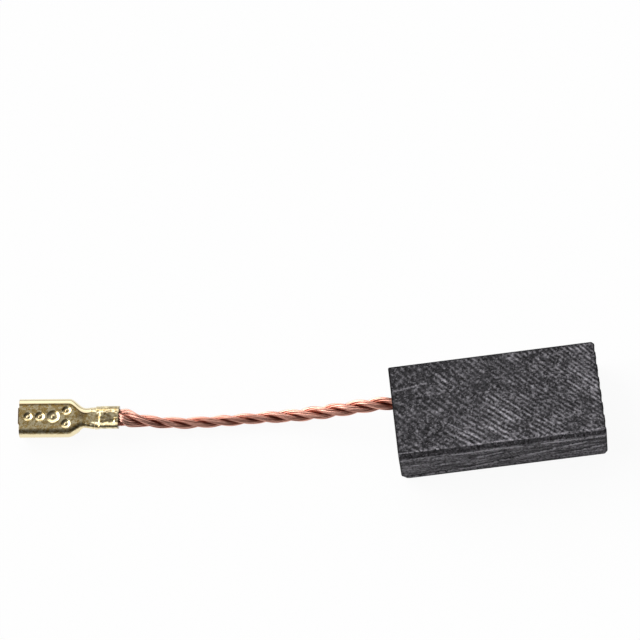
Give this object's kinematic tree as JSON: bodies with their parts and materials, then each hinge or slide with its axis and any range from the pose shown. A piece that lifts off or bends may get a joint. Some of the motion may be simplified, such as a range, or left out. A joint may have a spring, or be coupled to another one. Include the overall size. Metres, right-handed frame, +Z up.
{
  "type": "carbon brush",
  "caption": "Rectangular carbon brush block with a grooved running face, a tamped twisted copper lead and a folded brass receptacle terminal crimped on its end.",
  "frame": {"origin": "middle of the carbon block's underside, on the surface that the brush lies on", "axes": "+X along the block towards its running face; +Z up, along the block's thickness; the lead and its terminal leave the rear face towards -X and lie on the same surface"},
  "size_m": [0.0582, 0.0133, 0.005],
  "materials": {
    "carbon": "ground matte",
    "copper_powder": "rammed powder",
    "copper": "drawn bright wire",
    "brass": "rolled sheet, satin"
  },
  "bodies": {
    "root": {"carbon_block": "carbon", "tamping_plug": "copper_powder", "copper_lead": "copper", "receptacle_terminal": "brass"}
  },
  "joints": []
}
